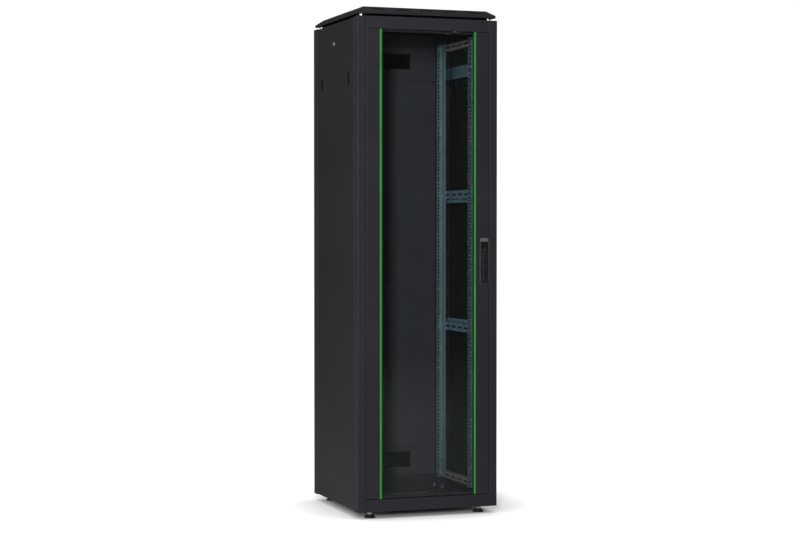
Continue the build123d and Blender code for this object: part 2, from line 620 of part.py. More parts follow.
with BuildPart() as latch_tongue:
    with BuildSketch(upright(FRONT + 25.5)) as tongue:
        with Locations((HANDLE_X, FLOOR + SPINDLE_Z)):
            Circle(9)
        with Locations((HANDLE_X + 8.5, FLOOR + SPINDLE_Z)):
            Rectangle(17, 16)
        fillet(tongue.vertices().sort_by(Axis.X)[-2:], 3)
        with Locations((HANDLE_X, FLOOR + SPINDLE_Z)):
            Circle(5.05, mode=Mode.SUBTRACT)
    extrude(amount=3)
save(latch_tongue, "latch_tongue")

# Flat rods from beside the spindle to the door's ends, chamfered at the far end.
for rod_name, up, door_z in (("upper", 1, DOOR_TOP), ("lower", -1, DOOR_BOTTOM)):
    with BuildPart() as lock_rod:
        slab(HANDLE_X + up * 8.5, HANDLE_X + up * 16.5, FRONT + 14, FRONT + 17,
             SPINDLE_Z + up * 2, door_z - up)
        chamfer(outermost(lock_rod.faces(), Axis.Z, up).edges().filter_by(Axis.Y), 2.5)
    save(lock_rod, f"{rod_name}_lock_rod")


# ---------------------------------------------------------------- side panels
PANEL_SHEET = 1.2
PANEL_Y = 249.0          # half width
PANEL_BOTTOM, PANEL_TOP = 5.1, 1982.0
PANEL_DEPTH = 14.0
LOCK_Y, LOCK_Z = 15.0, 1899.0
LATCH_Y = 180.0
LATCH_BOTTOM, LATCH_TOP = 1716.0, 1765.0


def side_panel(side):
    """A pan open to the inside, with a lock hole and two latch slots."""
    with BuildPart() as panel:
        slab(side * HALF_W, side * (HALF_W - PANEL_DEPTH), -PANEL_Y, PANEL_Y,
             PANEL_BOTTOM, PANEL_TOP)
        fillet(outermost(panel.faces(), Axis.X, side).edges(), 1.1)
        slab(side * (HALF_W - PANEL_SHEET), side * (HALF_W - PANEL_DEPTH - 1),
             -PANEL_Y + PANEL_SHEET, PANEL_Y - PANEL_SHEET,
             PANEL_BOTTOM + PANEL_SHEET, PANEL_TOP - PANEL_SHEET, mode=Mode.SUBTRACT)
        rod_x(10.1, side * (HALF_W - 3), side * (HALF_W + 1), LOCK_Y, LOCK_Z,
              mode=Mode.SUBTRACT)
        for y in (-LATCH_Y, LATCH_Y):
            slab(side * (HALF_W - 3), side * (HALF_W + 1), y - 10, y + 10,
                 LATCH_BOTTOM, LATCH_TOP, mode=Mode.SUBTRACT)
    return panel


def panel_lock_housing(side):
    with BuildPart() as housing:
        rod_x(12.0, side * HALF_W, side * (HALF_W + 1.5), LOCK_Y, LOCK_Z)
        rod_x(10.0, side * HALF_W, side * (HALF_W - 18), LOCK_Y, LOCK_Z)
        rod_x(5.55, side * (HALF_W + 2), side * (HALF_W - 19), LOCK_Y, LOCK_Z,
              mode=Mode.SUBTRACT)
        fillet(outermost(housing.faces(), Axis.X, side).outer_wire().edges(), 0.6)
    return housing


def panel_lock_cam(side):
    """A slotted plug with a cam plate at its inner end."""
    with BuildPart() as cam:
        rod_x(5.5, side * (HALF_W + 1.2), side * (HALF_W - 21), LOCK_Y, LOCK_Z)
        slab(side * (HALF_W - 18.5), side * (HALF_W - 20.5), LOCK_Y - 7, LOCK_Y + 7,
             LOCK_Z - 7, LOCK_Z + 30)
        slab(side * (HALF_W + 0.2), side * (HALF_W + 2), LOCK_Y - 0.6, LOCK_Y + 0.6,
             LOCK_Z - 3.2, LOCK_Z + 3.2, mode=Mode.SUBTRACT)
    return cam


def panel_latch(side, y):
    """Finger latch: a cup in the panel's slot, a wider plate behind the sheet, and a hook
    under the latch bar."""
    def block(out, inward, half_width, z0, z1, mode=Mode.ADD):
        """A slab between two distances inwards from the panel's face."""
        slab(side * (HALF_W - out), side * (HALF_W - inward), y - half_width, y + half_width,
             z0, z1, mode=mode)

    top = LATCH_TOP - 0.4
    with BuildPart() as latch:
        block(0.3, 8, 9.7, top - 40, top)
        block(PANEL_SHEET + GAP, 3, 13, top - 52, top + 9.5)
        block(-1, 6.5, 8.3, top - 38.6, top - 7, mode=Mode.SUBTRACT)
        block(1.8, 6.5, 8.3, top - 8, top - 1.4, mode=Mode.SUBTRACT)
        block(7.9, 22, 8, top - 10, top - 6)
        block(19, 22, 8, top - 10, LATCH_BAR_BOTTOM - 1.5)
    return latch


for side_name, side in SIDES:
    save(side_panel(side), f"{side_name}_side_panel")
    save(panel_lock_housing(side), f"{side_name}_panel_lock_housing")
    save(panel_lock_cam(side), f"{side_name}_panel_lock_cam")
    for end_name, end in ENDS:
        save(panel_latch(side, end * LATCH_Y), f"{side_name}_panel_{end_name}_latch")


# ---------------------------------------------------------------- rear door
REAR_DOOR_BOTTOM, REAR_DOOR_TOP = 192.0, 1799.5
REAR_DOOR_T = 18.0
REAR_LIP = 20.0
REAR_LOCK_X, REAR_LOCK_Z = -232.0, 994.0

with BuildPart() as rear_door:
    slab(-DOOR_X, DOOR_X, REAR - REAR_DOOR_T, REAR, REAR_DOOR_BOTTOM, REAR_DOOR_TOP)
    fillet(rear_door.edges().filter_by(Axis.Z), 2.5)
    # hollow of the pan, then the narrower mouth that leaves a lip
    slab(-DOOR_X + PANEL_SHEET, DOOR_X - PANEL_SHEET,
         REAR - REAR_DOOR_T + PANEL_SHEET, REAR - PANEL_SHEET,
         REAR_DOOR_BOTTOM + PANEL_SHEET, REAR_DOOR_TOP - PANEL_SHEET, mode=Mode.SUBTRACT)
    slab(-DOOR_X + REAR_LIP, DOOR_X - REAR_LIP, REAR - REAR_DOOR_T - 1, REAR - 10,
         REAR_DOOR_BOTTOM + REAR_LIP, REAR_DOOR_TOP - REAR_LIP, mode=Mode.SUBTRACT)
    rod_y(10.1, REAR - 3, REAR + 1, REAR_LOCK_X, REAR_LOCK_Z, mode=Mode.SUBTRACT)
    # pivot pin holes in the lower and upper edges
    for door_z, up in ((REAR_DOOR_BOTTOM, 1), (REAR_DOOR_TOP, -1)):
        rod_z(PIVOT_R, door_z - up, door_z + up * 3, PIVOT_X, REAR_PIVOT_Y, mode=Mode.SUBTRACT)
save(rear_door, "rear_door")

with BuildPart() as rear_door_pivots:
    inset = PANEL_SHEET + GAP
    for door_z, up, hole_z in (
        (REAR_DOOR_BOTTOM, 1, LOW_PAN_TOP), (REAR_DOOR_TOP, -1, HIGH_PAN_BOTTOM),
    ):
        slab(DOOR_X - PIVOT_BLOCK_X, DOOR_X - 2.0, REAR - REAR_DOOR_T + inset, REAR - inset,
             door_z + up * inset, door_z + up * PIVOT_BLOCK)
        rod_z(PIVOT_R, hole_z - up * PIVOT_REACH, door_z + up * (inset + 1),
              PIVOT_X, REAR_PIVOT_Y)
save(rear_door_pivots, "rear_door_pivots")

with BuildPart() as rear_lock_housing:
    rod_y(15.0, REAR, REAR + 4, REAR_LOCK_X, REAR_LOCK_Z)
    fillet(rear_lock_housing.faces().sort_by(Axis.Y)[-1].edges(), 1.5)
    rod_y(10.0, REAR - 12, REAR + 0.5, REAR_LOCK_X, REAR_LOCK_Z)
    rod_y(6.05, REAR - 13, REAR + 5, REAR_LOCK_X, REAR_LOCK_Z, mode=Mode.SUBTRACT)
save(rear_lock_housing, "rear_lock_housing")

# Shaft with a knob and its grip outside and a cam plate inside.
with BuildPart() as rear_lock_cam:
    rod_y(6.0, REAR - 24, REAR + 6, REAR_LOCK_X, REAR_LOCK_Z)
    rod_y(12.0, REAR + 4.3, REAR + 8, REAR_LOCK_X, REAR_LOCK_Z)
    with BuildSketch(upright(REAR + 17)):
        with Locations((REAR_LOCK_X, FLOOR + REAR_LOCK_Z)):
            SlotOverall(30, 8, rotation=90)
    extrude(amount=10)
    slab(REAR_LOCK_X + 8, REAR_LOCK_X - 29.5, REAR - 23, REAR - 20,
         REAR_LOCK_Z - 8, REAR_LOCK_Z + 8)
save(rear_lock_cam, "rear_lock_cam")


# ---------------------------------------------------------------- levelling feet
# Heights here are absolute.
STUD_BOTTOM, STUD_TOP = 4.1, 50.0
# half section of a pad: radius, height
PAD_SECTION = (
    (5.05, 13.5), (5.05, 4.0), (0, 4.0), (0, 0), (21.5, 0),
    (22.5, 1.0), (22.5, 4.0), (14.0, 12.5), (12.0, 13.5),
)


def foot_pad(x, y):
    with BuildSketch(Plane(origin=(x, y, 0), x_dir=(1, 0, 0), z_dir=(0, -1, 0))) as section:
        with BuildLine():
            Polyline(*PAD_SECTION, close=True)
        make_face()
    revolve(section.sketch, axis=Axis((x, y, 0), (0, 0, 1)))


def foot_stud(x, y):
    """A stud with a hexagon nut."""
    with Locations((x, y, (STUD_BOTTOM + STUD_TOP) / 2)):
        Cylinder(5.0, STUD_TOP - STUD_BOTTOM)
    with BuildSketch(Plane.XY.offset(14.0)) as nut:
        with Locations((x, y)):
            RegularPolygon(hex_radius(17.0), 6)
    extrude(nut.sketch, amount=8)


for corner, side, end in CORNERS:
    with BuildPart() as pad_part:
        foot_pad(side * FOOT_X, end * FOOT_Y)
    save(pad_part, f"{corner}_foot_pad")
    with BuildPart() as stud_part:
        foot_stud(side * FOOT_X, end * FOOT_Y)
    save(stud_part, f"{corner}_foot_stud")
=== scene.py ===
"""A floor-standing equipment cabinet with a glazed front door, in a white studio.

The cabinet is centred on x = y = 0 and stands on the floor at z = 0. Its front faces -Y,
its right side (seen from the front) is +X. Lengths are metres.
"""
import bpy, bmesh, math, random
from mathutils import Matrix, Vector

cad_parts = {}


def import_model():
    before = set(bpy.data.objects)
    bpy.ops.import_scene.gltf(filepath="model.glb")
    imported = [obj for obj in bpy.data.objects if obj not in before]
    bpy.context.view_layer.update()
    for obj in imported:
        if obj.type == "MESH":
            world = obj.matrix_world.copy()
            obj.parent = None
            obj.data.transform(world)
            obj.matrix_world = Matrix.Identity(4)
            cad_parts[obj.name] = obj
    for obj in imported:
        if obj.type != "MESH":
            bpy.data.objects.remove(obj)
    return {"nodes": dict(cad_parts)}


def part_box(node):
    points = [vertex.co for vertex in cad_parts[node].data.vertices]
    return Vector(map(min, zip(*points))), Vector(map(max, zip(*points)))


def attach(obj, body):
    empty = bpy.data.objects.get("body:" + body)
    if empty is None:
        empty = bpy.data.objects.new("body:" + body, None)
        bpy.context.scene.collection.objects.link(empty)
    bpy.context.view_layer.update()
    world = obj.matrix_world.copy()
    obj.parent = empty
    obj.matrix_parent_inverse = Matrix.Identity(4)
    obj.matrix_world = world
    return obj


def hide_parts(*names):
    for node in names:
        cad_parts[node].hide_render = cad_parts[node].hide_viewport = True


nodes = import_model()["nodes"]
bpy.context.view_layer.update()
scene = bpy.context.scene
rng = random.Random(4219)

BODY_Z = 0.028                 # underside of the body above the floor
SIDES = (-1, 1)


# ------------------------------------------------------------------ node helpers
class Mat:
    """A material and short methods that add nodes to it and return their output socket."""

    def __init__(self, name):
        self.material = bpy.data.materials.new(name)
        self.material.use_nodes = True
        self.tree = self.material.node_tree
        self.tree.nodes.clear()
        self.out = self.add("ShaderNodeOutputMaterial")
        self.coords = self.add("ShaderNodeTexCoord").outputs["Object"]

    def feed(self, socket, value):
        """Sets a socket to a number or a tuple, or links another socket to it."""
        if isinstance(value, (int, float)):
            socket.default_value = value
        elif isinstance(value, tuple):
            socket.default_value = value + (1,) if socket.type == "RGBA" else value
        else:
            self.tree.links.new(value, socket)

    def add(self, kind, inputs=None, **props):
        """Adds a node; props come first, because they decide which sockets are in use."""
        node = self.tree.nodes.new(kind)
        for key, value in props.items():
            setattr(node, key, value)
        for key, value in (inputs or {}).items():
            self.feed(node.inputs[key], value)
        return node

    def noise(self, scale, detail=3.0, rough=0.5, distort=0.0, vector=None):
        return self.add("ShaderNodeTexNoise", {
            "Scale": scale, "Detail": detail, "Roughness": rough, "Distortion": distort,
            "Vector": vector or self.coords}).outputs["Fac"]

    def voronoi(self, scale, out):
        cells = self.add("ShaderNodeTexVoronoi", {"Scale": scale, "Vector": self.coords})
        return cells.outputs[out]

    def stretch(self, x, y, z):
        """Object coordinates scaled per axis; a small factor draws a texture out along it."""
        mapping = self.add("ShaderNodeMapping", {"Scale": (x, y, z), "Vector": self.coords})
        return mapping.outputs["Vector"]

    def span(self, value, over=(0.0, 1.0), to=(0.0, 1.0)):
        """Maps the range `over` to the range `to`, clamped."""
        return self.add("ShaderNodeMapRange", {
            "From Min": over[0], "From Max": over[1], "To Min": to[0], "To Max": to[1],
            "Value": value}).outputs["Result"]

    def math(self, op, *values):
        return self.add("ShaderNodeMath", dict(enumerate(values)), operation=op).outputs["Value"]

    def times(self, a, b):
        return self.math("MULTIPLY", a, b)

    def plus(self, a, b):
        return self.math("ADD", a, b)

    def mix(self, fac, a, b):
        """Colour mix; 0, 6, 7 and output 2 are the Mix node's RGBA sockets."""
        return self.add("ShaderNodeMix", {0: fac, 6: a, 7: b}, data_type="RGBA").outputs[2]

    def mix_shader(self, fac, a, b):
        return self.add("ShaderNodeMixShader", {0: fac, 1: a, 2: b}).outputs[0]

    def edges(self, radius):
        """1 along sharp edges, 0 on flat faces."""
        bevel = self.add("ShaderNodeBevel", {"Radius": radius}, samples=4)
        flat = self.add("ShaderNodeNewGeometry")
        dot = self.add("ShaderNodeVectorMath",
                       {0: bevel.outputs["Normal"], 1: flat.outputs["Normal"]},
                       operation="DOT_PRODUCT")
        return self.span(self.math("SUBTRACT", 1.0, dot.outputs["Value"]), over=(0.02, 0.25))

    def normal_axis(self, normal, axis):
        """One component of the geometry's normal of the given kind."""
        geometry = self.add("ShaderNodeNewGeometry")
        return self.add("ShaderNodeSeparateXYZ", {0: geometry.outputs[normal]}).outputs[axis]

    def up(self):
        """1 on faces that look up, where dust settles."""
        return self.span(self.normal_axis("Normal", "Z"), over=(0.55, 0.95))

    def bump(self, height, strength, distance, normal=None):
        inputs = {"Strength": strength, "Distance": distance, "Height": height}
        if normal is not None:
            inputs["Normal"] = normal
        return self.add("ShaderNodeBump", inputs).outputs["Normal"]

    def principled(self, **inputs):
        """Principled shader to the output; underscores stand for spaces in socket names."""
        shader = self.add("ShaderNodeBsdfPrincipled",
                          {key.replace("_", " "): value for key, value in inputs.items()})
        self.surface(shader.outputs["BSDF"])

    def surface(self, shader):
        self.feed(self.out.inputs["Surface"], shader)


def shade(color, factor):
    return tuple(min(1.0, x * factor) for x in color)


# ------------------------------------------------------------------ finishes
MID = (0.3, 0.7)               # the part of a noise's range where most of its values lie


def powder_coat(name, color, rough=0.46, grain=1.0, dust=0.05):
    """Satin powder coat: orange peel, faint clouding, edge wear with a painted edge highlight, and
    a little settled dust.
    """
    m = Mat(name)
    cloud = m.noise(scale=2.6, detail=4.0, rough=0.55)
    fine = m.noise(scale=1400.0, detail=2.0, rough=0.6)
    peel = m.noise(scale=420.0, detail=2.0)
    fleck = m.noise(scale=90.0, detail=5.0, rough=0.7)
    base = m.mix(m.span(cloud, over=MID), shade(color, 0.90), shade(color, 1.10))
    base = m.mix(m.span(fine, over=(0.45, 0.75), to=(0, 0.35)), base, shade(color, 1.35))
    # edges lighter: partly wear in flecks, partly a painted highlight on every edge
    wear_and_edge_highlight = m.times(m.edges(radius=0.0010), m.span(fleck, over=(0.4, 0.65), to=(0.15, 0.8)))
    base = m.mix(m.times(wear_and_edge_highlight, 0.45), base, shade(color, 3.2))
    settled = m.times(m.times(m.up(), m.span(cloud, over=MID, to=(0.5, 1.0))), dust)
    dust_color = (0.34, 0.33, 0.31)
    base = m.mix(settled, base, dust_color)
    sheen = m.plus(m.span(cloud, over=MID, to=(rough - 0.05, rough + 0.05)), m.times(fine, 0.06))
    normal = m.bump(peel, strength=0.10 * grain, distance=0.0003)
    normal = m.bump(fine, strength=0.14 * grain, distance=0.0001, normal=normal)
    m.principled(Base_Color=base, Roughness=sheen, Normal=normal, Specular_IOR_Level=0.28)
    return m.material


def galvanised(name, color, rough, metal):
    """Hot-dip galvanised sheet: spangle in colour and sheen, faint rolling lines, and a painted
    highlight along the edges.
    """
    m = Mat(name)
    spangle = m.add("ShaderNodeRGBToBW", {0: m.voronoi(scale=150.0, out="Color")}).outputs[0]
    lines = m.noise(scale=260.0, detail=2.0, vector=m.stretch(x=1.0, y=1.0, z=0.02))
    blotch = m.noise(scale=7.0, detail=4.0, rough=0.6)
    red, green, blue = color
    cooler = shade((red * 0.9, green * 0.97, blue), 0.85)
    base = m.mix(m.span(spangle, over=(0.2, 0.8)), shade(color, 0.70), shade(color, 1.30))
    base = m.mix(m.span(blotch, over=(0.35, 0.75), to=(0, 0.5)), base, cooler)
    # painted highlight: edges lighter, as if they caught the light
    base = m.mix(m.times(m.edges(radius=0.0006), 0.5), base, shade(color, 1.5))
    sheen = m.plus(m.span(spangle, over=(0.2, 0.8), to=(rough - 0.07, rough + 0.08)),
                   m.times(lines, 0.08))
    normal = m.bump(lines, strength=0.10, distance=0.0002)
    normal = m.bump(spangle, strength=0.08, distance=0.0002, normal=normal)
    m.principled(Base_Color=base, Metallic=metal, Roughness=sheen, Normal=normal)
    return m.material


def plated(name, color, rough):
    """Plated metal with fine scratches, soft blotches and a painted highlight along the edges."""
    m = Mat(name)
    scratch = m.noise(scale=500.0, rough=0.6, vector=m.stretch(x=1.0, y=0.08, z=1.0))
    blotch = m.noise(scale=45.0, detail=4.0, rough=0.6)
    base = m.mix(m.span(blotch, over=(0.35, 0.7)), shade(color, 0.86), shade(color, 1.06))
    # painted highlight: edges lighter, as if they caught the light
    base = m.mix(m.times(m.edges(radius=0.0005), 0.35), base, shade(color, 1.4))
    sheen = m.plus(m.span(blotch, over=MID, to=(rough - 0.04, rough + 0.10)),
                   m.times(scratch, 0.08))
    normal = m.bump(scratch, strength=0.08, distance=0.0001)
    m.principled(Base_Color=base, Metallic=1.0, Roughness=sheen, Normal=normal)
    return m.material


def moulded(name, color, rough, gloss=0.5, grain=900.0, depth=0.25):
    """Moulded plastic with a spark-eroded grain and a painted highlight along the edges."""
    m = Mat(name)
    cells = m.voronoi(scale=grain, out="Distance")
    fine = m.noise(scale=grain * 1.7, rough=0.6)
    cloud = m.noise(scale=9.0)
    base = m.mix(m.span(cloud, over=MID), shade(color, 0.88), shade(color, 1.15))
    # painted highlight: edges lighter, as if they caught the light
    base = m.mix(m.times(m.edges(radius=0.0008), 0.35), base, shade(color, 2.6))
    sheen = m.span(fine, over=MID, to=(rough - 0.05, rough + 0.09))
    normal = m.bump(cells, strength=depth, distance=0.00015)
    normal = m.bump(fine, strength=depth * 0.6, distance=0.00008, normal=normal)
    m.principled(Base_Color=base, Roughness=sheen, Normal=normal, Specular_IOR_Level=gloss)
    return m.material


def door_glass(name):
    """Tinted safety glass as a thin sheet: clear tint, reflection by angle, a faint film of
    wipe marks and dust, greener at the cut edge."""
    m = Mat(name)
    smear = m.noise(scale=14.0, detail=5.0, rough=0.65, distort=1.4,
                    vector=m.stretch(x=1.0, y=1.0, z=0.35))
    dust = m.noise(scale=700.0, detail=2.0, rough=0.8)
    face = m.math("ABSOLUTE", m.normal_axis("True Normal", "Y"))   # 1 on the sheet's faces
    tint = m.mix(m.span(smear, over=MID), (0.885, 0.905, 0.905), (0.90, 0.915, 0.915))
    edge_green = (0.10, 0.30, 0.24)
    tint = m.mix(m.span(face, over=(0.3, 0.9), to=(1, 0)), tint, edge_green)
    clear = m.add("ShaderNodeBsdfTransparent", {"Color": tint})
    shine = m.add("ShaderNodeBsdfGlossy", {
        "Color": (0.92, 0.95, 0.95),
        "Roughness": m.span(smear, over=(0.45, 0.8), to=(0.015, 0.07))})
    fresnel = m.add("ShaderNodeFresnel", {"IOR": 1.42})
    film = m.add("ShaderNodeBsdfDiffuse", {"Color": (0.55, 0.57, 0.58)})
    sheet = m.mix_shader(m.times(fresnel.outputs[0], 0.55), clear.outputs[0], shine.outputs[0])
    haze = m.plus(m.span(smear, over=(0.45, 0.8), to=(0.001, 0.0045)),
                  m.span(dust, over=(0.62, 0.8), to=(0, 0.0012)))
    m.surface(m.mix_shader(haze, sheet, film.outputs[0]))
    return m.material


MATERIALS = {
    "frame": powder_coat("coat_frame", color=(0.0205, 0.0200, 0.0250)),
    "panel": powder_coat("coat_panel", color=(0.0160, 0.0160, 0.0195)),
    "door": powder_coat("coat_door", color=(0.0200, 0.0196, 0.0245), rough=0.42),
    # painted light: the inside coat is a lighter copy of the black coat, making up for the shade
    # inside the closed cabinet
    "inner": powder_coat("coat_inner_lightened", color=(0.0400, 0.0420, 0.0485), rough=0.72,
                         grain=0.06, dust=0.02),
    "roof": powder_coat("coat_roof", color=(0.0185, 0.0182, 0.0222), dust=0.08),
    "galv": galvanised("galvanised_sheet", color=(0.120, 0.185, 0.205), rough=0.40, metal=0.35),
    "brace": galvanised("galvanised_strip", color=(0.190, 0.330, 0.410), rough=0.32, metal=0.80),
    "aluzinc": galvanised("aluzinc_sheet", color=(0.26, 0.25, 0.265), rough=0.46, metal=0.6),
    "zinc": plated("zinc_plate", color=(0.60, 0.62, 0.64), rough=0.28),
    "nickel": plated("nickel_plate", color=(0.66, 0.66, 0.67), rough=0.16),
    "glass": door_glass("tinted_glass"),
    "green": moulded("green_strip", color=(0.030, 0.420, 0.036), rough=0.34, gloss=0.55,
                     grain=1500.0, depth=0.08),
    # near-black latches: black plastic, darkened further as painted shade for their slots
    "plastic": moulded("black_plastic", color=(0.0016, 0.0016, 0.0018), rough=0.6, gloss=0.08),
    "handle_base": moulded("handle_base_black", color=(0.0042, 0.0042, 0.0048), rough=0.38,
                           gloss=0.4, grain=1300.0, depth=0.12),
    "handle": moulded("handle_black", color=(0.0095, 0.0093, 0.0118), rough=0.34,
                      gloss=0.4, grain=1300.0, depth=0.12),
    "foot": moulded("foot_black", color=(0.009, 0.009, 0.0095), rough=0.58,
                    grain=600.0, depth=0.35),
    "brush": moulded("brush_black", color=(0.0010, 0.0010, 0.0011), rough=0.95, gloss=0.0,
                     grain=400.0, depth=0.03),
    # near-black sheets under the roof, standing in for shade in the vents
    "foam": moulded("vent_shade_foam", color=(0.0015, 0.0015, 0.0016), rough=0.9, gloss=0.05,
                    grain=260.0, depth=0.8),
    "pad": moulded("grey_foam_pad", color=(0.050, 0.050, 0.054), rough=0.9, gloss=0.1,
                   grain=240.0, depth=0.5),
    "rubber": moulded("seal_rubber", color=(0.0080, 0.0080, 0.0085), rough=0.7, gloss=0.25,
                      grain=700.0, depth=0.3),
    "pivot": plated("blackened_steel", color=(0.035, 0.034, 0.036), rough=0.45),
    "plate": plated("printed_plate", color=(0.30, 0.30, 0.31), rough=0.42),
    # a light rim round the handle's base: painted highlight
    "bezel": plated("bezel_painted_highlight", color=(0.27, 0.265, 0.29), rough=0.40),
}


def at_corners(piece):
    """The names of a piece that each of the four corners has."""
    return [f"{depth}_{side}_{piece}" for depth in ("front", "rear") for side in ("left", "right")]


# material: the CAD pieces that wear it
FINISH = {
    "frame": at_corners("post") + ["front_top_beam", "front_bottom_beam",
                                   "rear_top_beam", "rear_bottom_beam"],
    "aluzinc": ["side_depth_beams"],
    "inner": ["base_plate", "rear_top_cable_panel", "rear_bottom_cable_panel", "rear_door"],
    "roof": ["roof_cover"],
    "panel": ["left_side_panel", "right_side_panel"],
    "door": ["front_door_left_profile", "front_door_right_profile", "front_door_cross_rails"],
    "glass": ["front_door_glass"],
    "green": ["front_door_trim_strips"],
    "brace": ["rail_braces", "latch_bars"],
    "galv": at_corners("rail"),
    "zinc": at_corners("rail_bolts") + at_corners("foot_stud") + [
        "roof_fixings", "handle_spindle", "latch_tongue", "upper_lock_rod", "lower_lock_rod"],
    "handle_base": ["handle_base", "handle_key_plug"],
    "pivot": ["front_door_pivots", "rear_door_pivots"],
    "handle": ["handle_lever"],
    "nickel": ["left_panel_lock_housing", "right_panel_lock_housing", "left_panel_lock_cam",
               "right_panel_lock_cam", "rear_lock_housing", "rear_lock_cam"],
    "plastic": ["left_panel_front_latch", "left_panel_rear_latch",
                "right_panel_front_latch", "right_panel_rear_latch"],
    "foot": at_corners("foot_pad"),
    "brush": ["brush_strips"],
}


def finish_pieces():
    for key, names in FINISH.items():
        for name in names:
            piece = nodes[name]
            if not piece.material_slots:
                piece.data.materials.append(MATERIALS[key])
            for slot in piece.material_slots:
                slot.material = MATERIALS[key]


finish_pieces()


# ------------------------------------------------------------------ mesh helpers
def mesh_object(name, bm, finish, body, smooth=None):
    """Turns bm into an object that moves with body; smooth is the sharp-edge angle in degrees."""
    bmesh.ops.recalc_face_normals(bm, faces=bm.faces)
    mesh = bpy.data.meshes.new(name)
    bm.to_mesh(mesh)
    bm.free()
    obj = bpy.data.objects.new(name, mesh)
    scene.collection.objects.link(obj)
    mesh.materials.append(MATERIALS[finish])
    if smooth:
        for face in mesh.polygons:
            face.use_smooth = True
        mesh.set_sharp_from_angle(angle=math.radians(smooth))
    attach(obj, body)
    return obj


def add_ring(bm, points):
    return [bm.verts.new(point) for point in points]


def skin(bm, rings):
    """Joins each ring of vertices to the next with quads."""
    for a, b in zip(rings, rings[1:]):
        for i in range(len(a)):
            j = (i + 1) % len(a)
            bm.faces.new((a[i], a[j], b[j], b[i]))


def skin_capped(bm, rings):
    skin(bm, rings)
    bm.faces.new(list(reversed(rings[0])))
    bm.faces.new(rings[-1])


def add_block(bm, xs, ys, zs, bevel=0.0, segments=2):
    """A block between pairs of limits in either order, with softened edges."""
    block = bmesh.new()
    bmesh.ops.create_cube(block, size=1.0)
    limits = [sorted(pair) for pair in (xs, ys, zs)]
    for v in block.verts:
        v.co = Vector([(lo + hi) / 2 + c * (hi - lo) for c, (lo, hi) in zip(v.co, limits)])
    if bevel > 0:
        bmesh.ops.bevel(block, geom=list(block.edges), offset=bevel, segments=segments,
                        profile=0.5, affect="EDGES")
    mesh = bpy.data.meshes.new("block")
    block.to_mesh(mesh)
    block.free()
    bm.from_mesh(mesh)
    bpy.data.meshes.remove(mesh)


def add_lathe(bm, profile, x, y, steps):
    """Revolves (radius, z) pairs round the upright axis at x, y; the ends have radius 0."""
    turns = [2 * math.pi * i / steps for i in range(steps)]
    rings = [add_ring(bm, [(x + r * math.cos(a), y + r * math.sin(a), z) for a in turns])
             if r else add_ring(bm, [(x, y, z)]) for r, z in profile]
    first, *walls, last = rings
    for i in range(steps):
        bm.faces.new((first[0], walls[0][(i + 1) % steps], walls[0][i]))
    skin(bm, walls)
    for i in range(steps):
        bm.faces.new((walls[-1][i], walls[-1][(i + 1) % steps], last[0]))


def rounded_outline(xs, zs, radius, steps, grow=0.0):
    """(x, z) points of a round-cornered rectangle, offset outwards by grow."""
    (x0, x1), (z0, z1) = xs, zs
    corners = ((x1 - radius, z1 - radius, 0), (x0 + radius, z1 - radius, 90),
               (x0 + radius, z0 + radius, 180), (x1 - radius, z0 + radius, 270))
    points = []
    for cx, cz, start in corners:
        for k in range(steps + 1):
            a = math.radians(start + 90 * k / steps)
            points.append((cx + (radius + grow) * math.cos(a), cz + (radius + grow) * math.sin(a)))
    return points


# ------------------------------------------------------------------ cable-entry brushes
OPENING_HEIGHTS = (1.863, 0.130)   # middles of the cable cut-outs above BODY_Z
BRUSH_REACH = 0.027                # from a cut-out's middle to the root of the bristles
CORE_HALF, CORE_STEPS, CORE_THICK = 0.1349, 180, 0.0006
BRISTLE_HALF = 0.1343              # half length of the rows
BRISTLE_ROWS, ROW_PITCH, ROW_STAGGER = 6, 0.00095, 0.00015
BRISTLE_PITCH = 0.00092
ROOT_RADIUS, TIP_RADIUS = 0.00052, 0.00034


def add_core(bm, middle, up, root, strip_y):
    """The dense middle of a brush: a thin mat with a ragged edge, lapping past the other's."""
    ya = strip_y + 0.0034 + (0.0009 if up > 0 else -0.0002)
    yb = ya + CORE_THICK
    rings = []
    for i in range(CORE_STEPS + 1):
        x = -CORE_HALF + 2 * CORE_HALF * i / CORE_STEPS
        tip = middle - up * (0.0012 + rng.uniform(0.0, 0.0022))
        rings.append(add_ring(bm, [(x, ya, root), (x, yb, root), (x, yb, tip), (x, ya, tip)]))
    skin_capped(bm, rings)


def add_bristles(bm, middle, up, root, strip_y):
    """Rows of tapered three-sided bristles; the rows of facing brushes interleave."""
    for row in range(BRISTLE_ROWS):
        y = strip_y + 0.0016 + (row + 0.25 * up) * ROW_PITCH
        angles = [2 * math.pi * k / 3 + row for k in range(3)]
        station = -BRISTLE_HALF + ROW_STAGGER * row
        while station < BRISTLE_HALF:
            x = station + rng.uniform(-0.0003, 0.0003)
            tip = middle - up * (0.0006 + rng.uniform(0.0, 0.0034))
            lean_x = rng.uniform(-0.0010, 0.0010)
            lean_y = rng.uniform(-0.0002, 0.0002)
            # vertices alternate between root and tip
            pairs = [add_ring(bm, [
                (x + ROOT_RADIUS * math.cos(a), y + ROOT_RADIUS * math.sin(a), root),
                (x + lean_x + TIP_RADIUS * math.cos(a), y + lean_y + TIP_RADIUS * math.sin(a),
                 tip)]) for a in angles]
            skin_capped(bm, [list(ring) for ring in zip(*pairs)])
            station += BRISTLE_PITCH


def cable_entry_brushes():
    """Two facing brushes at each cable cut-out, each with a holder, a core and bristles."""
    bm = bmesh.new()
    lo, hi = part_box("brush_strips")
    for height in OPENING_HEIGHTS:
        middle = BODY_Z + height
        for up in SIDES:
            root = middle + up * BRUSH_REACH
            add_block(bm, (lo.x + 0.0005, hi.x - 0.0005), (lo.y + 0.0002, hi.y - 0.0003),
                      (root - up * 0.0018, root + up * 0.0058), bevel=0.0009)
            add_core(bm, middle, up, root, lo.y)
            add_bristles(bm, middle, up, root, lo.y)
    brushes = mesh_object("cable_entry_brushes", bm, "brush", "frame")
    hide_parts("brush_strips")


cable_entry_brushes()


